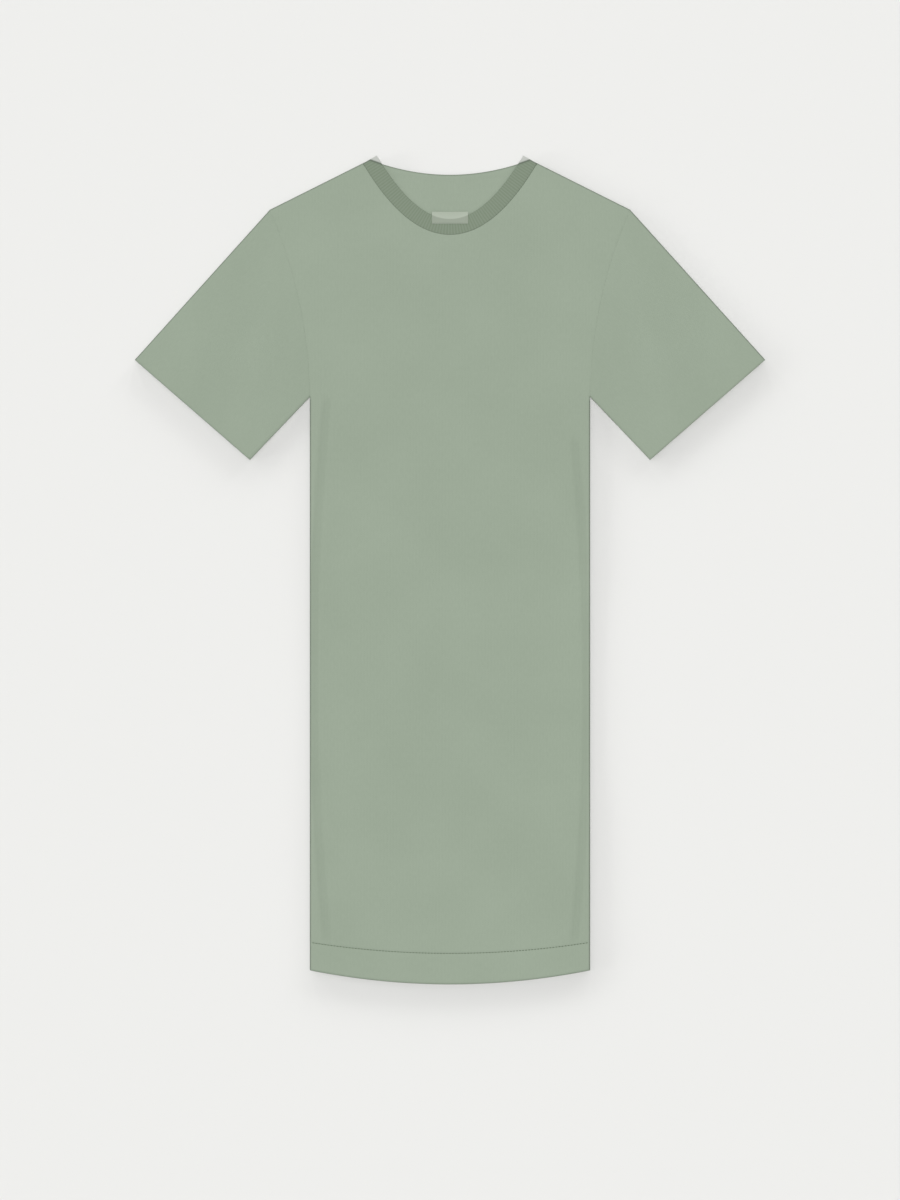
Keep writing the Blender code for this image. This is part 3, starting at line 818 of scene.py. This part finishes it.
def makeSleeve(name, side):
    # a flattened tube: rows from the armhole to the cuff, each running round the upper layer from the
    # underarm seam to the fold and back round the lower one
    shares = armholeShares()
    start, first = armholeLine(shares, sleeveSteps["gap"]), cuffRow(shares, cut["cuffTurn"])
    length = np.linalg.norm(sleeveTip - shoulderPoint) - cut["cuffTurn"]
    even = spaced(sleeveSteps["from"], length, sleeveSteps["step"])
    out = np.concatenate([sleeveSteps["close"], even]) / length
    steps = (*spaced(cut["cuffTurn"], foldSteps[-1], sleeveSteps["cuff"]), *foldSteps[::-1])
    turn = [cuffRow(shares, step) for step in steps]
    rows = np.concatenate([[start * (1.0 - share) + first * share for share in out], turn])
    x, y = rows[..., 0] * side, rows[..., 1]
    upper, lower = layer(x, y, 1), layer(x, y, -1)
    # both layers meet on one line at the fold and at the underarm seam
    outer, inner = (np.concatenate([up, down[:, -2:0:-1]], axis=1) for up, down in zip(upper, lower))
    along = np.linalg.norm(np.diff(rows, axis=0), axis=-1).cumsum(axis=0)
    along = np.concatenate([np.zeros((1, len(shares))), along])
    width = np.linalg.norm(shoulderPoint - underarm)
    across = np.tile(np.concatenate([shares, 2.0 - shares[-2::-1]]) * width, (len(rows), 1))
    uv = np.stack([across, np.concatenate([along, along[:, -2::-1]], axis=1)], axis=-1)
    piece = shellMesh(name, outer, inner, uv, True, [jerseyFace, jerseyReverse])
    # painted shade along the sleeve's outline, the same on both layers
    tone = paintedShadeTone(x, y)
    setTone(piece, "paintedShade", np.concatenate([tone, tone[:, -2:0:-1]], axis=1))
    print(name, "has", len(piece.data.polygons), "faces")
    return piece


band = {
    "thickness": 1.8,
    "crown": 0.25,
    "ribWidth": 3.4,
    "ribHeight": 0.16,
    "stationsPerRib": 8,
    "edgeGap": 0.1,
    "passing": 0.45,
    "liftFrom": 0.6,
    "liftTo": 0.9,
    "edgePoints": 9,
    "topPoints": 21,
    "bottomEvery": 5,
    "topReach": 0.95,
    "ribUnder": 0.6,
    "ribFade": 3.0,
    "tipStart": 0.4,
    "tipBlend": 1.6,
    # painted shade where the band passes over the shirt's edge: its darkness, how far on the shirt's side of
    # the edge it centres, and its reach, in millimetres
    "paintedShade": 0.95,
    "paintedShadeInside": 0.5,
    "paintedShadeReach": 1.2,
}


def bandMiddle(x, across):
    # level with the front at its seam and lower at the opening, rising to pass over the shoulder's corner
    half = band["thickness"] / 2.0
    share = across / cut["bandWidth"] + 0.5
    atSeam = lay["flatHeight"] - lay["cloth"] / 2.0
    atOpening = lay["cloth"] + band["passing"] + half
    atShoulder = lay["seamHeight"] + band["passing"] + half
    lifted = ease((np.abs(x) / cut["neckX"] - band["liftFrom"]) / (band["liftTo"] - band["liftFrom"]))
    level = atSeam + (atOpening - atSeam) * share
    return level + (np.maximum(atShoulder, level) - level) * lifted


def bandTop(x, across):
    # the middle level, half a thickness, and a crown that is a parabola across the band
    crown = band["crown"] * dome(across, cut["bandWidth"] / 2.0)
    return bandMiddle(x, across) + band["thickness"] / 2.0 + crown


def bandSection():
    # the band's section, and which way is out at each of its points: a half circle at the opening, the
    # crowned top, a half circle at the seam, and the flat bottom; last, how much a rib lifts each point
    half = band["thickness"] / 2.0
    flat = cut["bandWidth"] / 2.0 - band["edgeGap"] - half
    turn = np.radians(np.linspace(-90.0, 90.0, band["edgePoints"]))
    topShare = np.linspace(band["topReach"], -band["topReach"], band["topPoints"])
    bottomShare = -topShare[::band["bottomEvery"]]
    level, bottom, edge = (np.zeros(len(part)) for part in (topShare, bottomShare, turn))
    outX = np.concatenate([np.cos(turn), level, -np.cos(turn), bottom])
    outZ = np.concatenate([np.sin(turn), level + 1.0, np.sin(turn[::-1]), bottom - 1.0])
    flatShare = np.concatenate([edge + 1.0, topShare, edge - 1.0, bottomShare])
    crown = np.concatenate([edge, band["crown"] * dome(topShare, 1.0), edge, bottom])
    across, rise = flat * flatShare + half * outX, half * outZ + crown
    raised = np.clip(outZ + band["ribUnder"], 0.0, 1.0) * ease((across + flat + half) / band["ribFade"])
    return across, rise, outX, outZ, raised


def bandTones(points, wave, columns):
    # where each rib is high, which paints the hollows between ribs a shade deeper; how far each point lies
    # past the shirt's edge under the band, which is the shoulder's line and then the back neckline; and the
    # painted shade along that edge
    x, drop = np.abs(points[:, 0]) / mm, neckLevel - points[:, 1] / mm
    shoulderFall = cut["shoulderDrop"] * (x / cut["neckX"] - 1.0) / (cut["shoulderX"] / cut["neckX"] - 1.0)
    past = np.where(x > cut["neckX"], shoulderFall, backNeckDrop(x)) - drop
    return {
        "rib": np.append(np.repeat(wave, columns), [0.5, 0.5]),
        "overTable": ease(past / band["tipBlend"] + band["tipStart"]),
        "paintedShade": band["paintedShade"] * bell(past + band["paintedShadeInside"], band["paintedShadeReach"]),
    }


def makeNeckBand():
    # a rounded, crowned section carried along the parabola; each rib is half a sine along it that lifts the
    # top and the opening's edge and dies out at the seam
    across, rise, outX, outZ, raised = bandSection()
    ribs = round(bandStations(2)[1][-1] / band["ribWidth"])
    places, walked = bandStations(ribs * band["stationsPerRib"] + 1)
    wave = np.abs(np.sin(np.pi * walked * ribs / walked[-1]))
    lift = band["ribHeight"] * wave[:, None] * raised
    x = np.tile(places[:, None], (1, len(across)))
    acrossAt = across + outX * lift - band["ribHeight"] * raised * outX
    plan = bandSpot(x, acrossAt)
    z = bandMiddle(x, acrossAt) + rise + outZ * lift
    rings = np.concatenate([plan, z[..., None]], axis=-1)
    rows, columns = x.shape
    rowAt, columnAt = gridQuads(rows, columns)
    faces = rowAt * columns + columnAt % columns
    # each end is closed by a fan of quads round a point in its middle
    middle = np.stack([rings[0].mean(axis=0), rings[-1].mean(axis=0)])
    ends = []
    for first, centre in ((0, rows * columns), ((rows - 1) * columns, rows * columns + 1)):
        around = np.arange(0, columns, 2)
        fan = [first + (around + step) % columns for step in range(3)] + [np.full(len(around), centre)]
        ends.append(np.stack(fan if first else fan[::-1], axis=-1))
    points = np.concatenate([rings.reshape(-1, 3), middle]) * mm
    girth = pathLength(np.stack([across, rise], axis=-1))
    girth = np.append(girth, girth[-1] + 1.0)
    uv = np.stack([girth[columnAt], walked[rowAt]], axis=-1)
    uv = np.concatenate([uv, *(np.zeros((len(fan), 4, 2)) for fan in ends)])
    faces = np.concatenate([faces, *ends])
    piece = finishMesh("neck_band_rib", points, faces, uv, np.zeros(len(faces)), [ribCloth])
    for attribute, values in bandTones(points, wave, columns).items():
        setTone(piece, attribute, values, faces=1)
    print("neck band has", ribs, "ribs")
    return piece


label = {
    "width": 45.0,
    "height": 15.0,
    "topDrop": 65.0,
    "thickness": 0.45,
    "gap": 0.25,
    "droop": 1.1,
    "endFold": 3.0,
    "foldBlend": 0.8,
    "foldLift": 0.2,
    "showsOver": 0.8,
    "columns": 61,
    "rows": 31,
    "tackFromEdge": 1.2,
    "tackFromEnds": 1.0,
    "tack": {"pitch": 2.2, "length": 1.6, "width": 0.45, "height": 0.16},
}


def fromBand(x, drop):
    # distance from the band's middle line, towards the opening
    return (bandDrop(x) - drop) / bandTilt(x)


def makeLabel():
    # a strip that follows the band's crown and droops past its edge as a parabola; both ends are folded
    # under, which lifts them a little
    across = np.linspace(-label["width"] / 2.0, label["width"] / 2.0, label["columns"])
    drops = label["topDrop"] + label["height"] * np.linspace(1.0, 0.0, label["rows"])
    x, drop = np.meshgrid(across, drops)
    fromMiddle = fromBand(x, drop)
    edge = cut["bandWidth"] / 2.0
    onBand = np.clip(fromMiddle, -edge, edge)
    past = np.maximum(fromMiddle - edge, 0.0) / (label["height"] / 2.0)
    folded = ease((np.abs(x) - label["width"] / 2.0 + label["endFold"]) / label["foldBlend"])
    under = bandTop(x, onBand) + label["gap"] - label["droop"] * past**2
    bottom = np.stack([x, neckLevel - drop, under], axis=-1)
    thick = label["thickness"] + label["foldLift"] * folded
    top = bottom + np.stack([x * 0.0, x * 0.0, thick], axis=-1)
    uv = np.stack([x, -drop], axis=-1)
    piece = shellMesh("neck_label_tape", top, bottom, uv, False, [labelTape])
    setTone(piece, "overBand", 1.0 - ease((fromMiddle - edge) / label["showsOver"] + 1.0))
    return piece


stitch = {"pitch": 3.8, "length": 3.1, "width": 1.0, "height": 0.32}
stitchForm = {"rings": 7, "sides": 6, "tip": 0.04, "lift": 0.5, "fromCorner": 2.5, "backShare": 0.6}


def stitchRow(name, line, heightAt, face, material, size=stitch):
    # each stitch is a short round-ended bead: its radius and its rise both follow half a sine along it
    rings, sides, tip = stitchForm["rings"], stitchForm["sides"], stitchForm["tip"]
    step = pathLength(line)
    count = int(step[-1] // size["pitch"])
    centre = (np.arange(count) + 0.5) * step[-1] / count
    along = np.linspace(-0.5, 0.5, rings) * size["length"]
    walked = centre[:, None] + along
    px, py = np.interp(walked, step, line[:, 0]), np.interp(walked, step, line[:, 1])
    tangent = np.stack([px[:, -1] - px[:, 0], py[:, -1] - py[:, 0]], axis=-1)
    tangent /= np.linalg.norm(tangent, axis=-1)[:, None]
    swell = np.sqrt(np.sin(np.pi * np.linspace(tip, 1.0 - tip, rings)))
    turn = np.linspace(0.0, 2.0 * np.pi, sides, endpoint=False)
    side = size["width"] / 2.0 * swell[:, None] * np.cos(turn)
    rise = size["height"] * swell[:, None] * (stitchForm["lift"] + np.sin(turn))
    base = heightAt(px, py)
    points = np.stack([
        px[..., None] - tangent[:, 1, None, None] * side,
        py[..., None] + tangent[:, 0, None, None] * side,
        base[..., None] + face * rise,
    ], axis=-1)
    rowAt, columnAt = gridQuads(rings, sides)
    # two quads close each end, which has six sides
    cap = np.array([[0, 5, 4, 3], [3, 2, 1, 0]])
    farCap = cap[::-1, ::-1] + (rings - 1) * sides
    one = np.concatenate([rowAt * sides + columnAt % sides, cap, farCap])
    faces = (one[None] + np.arange(count)[:, None, None] * rings * sides).reshape(-1, 4)
    uv = np.zeros((len(faces), 4, 2))
    return finishMesh(name, points.reshape(-1, 3) * mm, faces, uv, np.zeros(len(faces)), [material])


jersey = [jerseyFace, jerseyReverse]
frontPiece = makePanel("front_jersey", neckSeam, 1, jersey, panelSteps["frontColumns"])
backPiece = makePanel("back_jersey", backNeck, -1, jersey, panelSteps["backColumns"])
rightSleeve = makeSleeve("sleeve_right_jersey", -1.0)
leftSleeve = makeSleeve("sleeve_left_jersey", 1.0)
bandPiece = makeNeckBand()
labelPiece = makeLabel()
print("cloth made")

hemEnd = cut["bodyX"] - stitchForm["fromCorner"]
hemX = np.linspace(-hemEnd, hemEnd, curvePoints["hem"])
hemLine = np.stack([hemX, hemCurves(hemX)[1]], axis=-1)


def upperAt(x, y):
    # the upper layer's height at any place
    distance, _ = edgeField(x, y)
    return upperHeight(x, y, distance, turnedField(x, y)[1])


frontStitches = stitchRow("hem_stitches_front", hemLine, upperAt, 1.0, hemThread)
backStitches = stitchRow("hem_stitches_back", hemLine, lowerHeight, -stitchForm["backShare"], hemThread)
tackEnd = label["width"] / 2.0 - label["tackFromEnds"]
tackX = np.linspace(-tackEnd, tackEnd, curvePoints["tack"])
tackY = neckLevel - label["topDrop"] - label["height"] + label["tackFromEdge"]
tackLine = np.stack([tackX, np.full(len(tackX), tackY)], axis=-1)


def labelTop(x, y):
    # the band's top, with the label's gap and thickness over it
    return bandTop(x, fromBand(x, neckLevel - y)) + label["gap"] + label["thickness"]


labelStitches = stitchRow("label_stitches", tackLine, labelTop, 1.0, labelThread, label["tack"])
print("stitches made")

for piece, node, slot in (
    (frontPiece, "front_panel", "jersey"),
    (backPiece, "back_panel", "jersey"),
    (rightSleeve, "sleeve_right", "jersey"),
    (leftSleeve, "sleeve_left", "jersey"),
    (bandPiece, "neck_band", "rib"),
    (labelPiece, "neck_label", "label"),
):
    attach(piece, "root")
    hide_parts(node)
for piece, slot in ((frontStitches, "jersey"), (backStitches, "jersey"), (labelStitches, "label")):
    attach(piece, "root")

# the table, the light and the camera
# each lamp: strength, height over the table and bearings in degrees, and how wide it looks
stageSet = {"floorHalf": 30.0, "below": 0.2, "table": "#D6D6D4", "room": 0.36}
lamps = {
    "softbox": {"strength": 1.79, "height": 90.0, "bearings": (90,), "wide": 30.0},
    "window": {"strength": 0.441, "height": 35.0, "bearings": (119,), "wide": 20.0, "shadowsOf": "trims"},
    "rim": {"strength": 1.36, "height": 6.0, "bearings": range(50, 191, 28), "wide": 8.0, "lights": "table"},
}


def makeFloor():
    # one wide square just under the shirt; matt white laminate, sprayed and left unpolished, has no mirror
    half, level = stageSet["floorHalf"], -stageSet["below"] * mm
    corners = [(-half, -half, level), (half, -half, level), (half, half, level), (-half, half, level)]
    mesh = bpy.data.meshes.new("table")
    mesh.from_pydata(corners, [], [(0, 1, 2, 3)])
    material, _, shader = newMaterial("matt white laminate")
    setShader(shader, {"Base Color": linear(stageSet["table"]), "Roughness": 0.9, "Specular IOR Level": 0.1})
    mesh.materials.append(material)
    floor = bpy.data.objects.new("table", mesh)
    bpy.context.scene.collection.objects.link(floor)
    return floor


def makeLights(floor):
    # a large softbox overhead, a window beyond the collar and to the left, and even light from the room;
    # a row of low lamps shines on the table alone, for the long soft shadow without glare on the cloth,
    # and only the trims throw the window's shadow, so that no hard dark line lies beside the shirt
    trims = (bandPiece, labelPiece, frontStitches, backStitches, labelStitches)
    groups = {}
    for name, members in (("table", (floor,)), ("trims", trims)):
        groups[name] = bpy.data.collections.new(name)
        for member in members:
            groups[name].objects.link(member)
    for name, lamp in lamps.items():
        for bearing in lamp["bearings"]:
            sun = bpy.data.lights.new(name, "SUN")
            sun.energy = lamp["strength"]
            sun.angle = np.radians(lamp["wide"])
            light = bpy.data.objects.new(name, sun)
            light.rotation_euler = (np.radians(90.0 - lamp["height"]), 0.0, np.radians(bearing + 90.0))
            bpy.context.scene.collection.objects.link(light)
            light.light_linking.receiver_collection = groups.get(lamp.get("lights"))
            light.light_linking.blocker_collection = groups.get(lamp.get("shadowsOf"))
    world = bpy.data.worlds.new("white room")
    world.use_nodes = True
    background = world.node_tree.nodes["Background"]
    background.inputs[0].default_value = (1.0, 1.0, 1.0, 1.0)
    background.inputs[1].default_value = stageSet["room"]
    bpy.context.scene.world = world


# the photograph's frame: 1200 pixels high at 1.25 mm a pixel, with the neck points 160 pixels down; the
# camera's lens and sensor are in millimetres, and it sees as far as 50 m
photo = {"height": 1200, "millimetresPerPixel": 1.25, "neckRow": 160}
optics = {"lens": 100.0, "sensor": 36.0, "farthest": 50.0}


def makeCamera():
    # straight over the shirt, as far up as makes the lens see just that height
    tall = photo["height"] * photo["millimetresPerPixel"]
    middle = neckLevel + photo["neckRow"] * photo["millimetresPerPixel"] - tall / 2.0
    lens = bpy.data.cameras.new("camera")
    lens.sensor_fit = "VERTICAL"
    lens.sensor_height = optics["sensor"]
    lens.sensor_width = optics["sensor"]
    lens.lens = optics["lens"]
    lens.clip_end = optics["farthest"]
    camera = bpy.data.objects.new("camera", lens)
    camera.location = (0.0, middle * mm, tall * optics["lens"] / optics["sensor"] * mm)
    bpy.context.scene.collection.objects.link(camera)
    bpy.context.scene.camera = camera


makeLights(makeFloor())
makeCamera()
bpy.context.scene.view_settings.view_transform = "Standard"
print("stage made")
